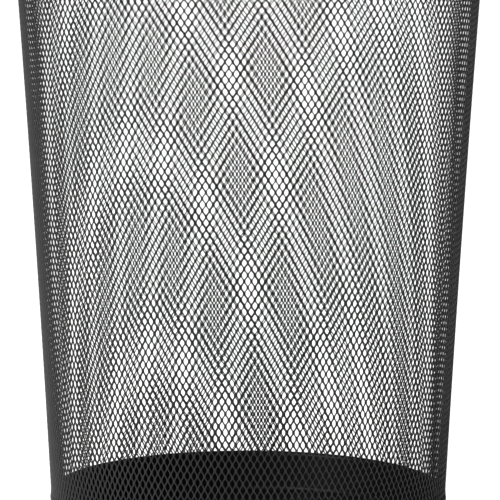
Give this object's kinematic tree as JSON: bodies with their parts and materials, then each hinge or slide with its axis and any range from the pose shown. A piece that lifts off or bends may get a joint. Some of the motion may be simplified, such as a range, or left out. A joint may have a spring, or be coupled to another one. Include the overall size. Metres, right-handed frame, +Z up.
{
  "type": "wastebasket",
  "caption": "Round open-topped wastebasket with a flared expanded-metal mesh wall, a rolled steel rim and a drawn steel base pan.",
  "frame": {"origin": "on the axis of the basket, at the level of the surface it stands on", "axes": "+Z up along the axis, -Y towards the front, +X to the side where the mesh is joined"},
  "size_m": [0.285, 0.285, 0.355],
  "materials": {
    "mesh_coat": "black powder coat on expanded steel, satin, slightly textured",
    "rim_coat": "black powder coat on rolled sheet, satin, faint orange peel",
    "pan_coat": "black powder coat on drawn sheet, satin, faint orange peel"
  },
  "bodies": {
    "root": {"mesh_wall": "mesh_coat", "seam_strip": "mesh_coat", "top_rim": "rim_coat", "base_pan": "pan_coat"}
  },
  "joints": []
}
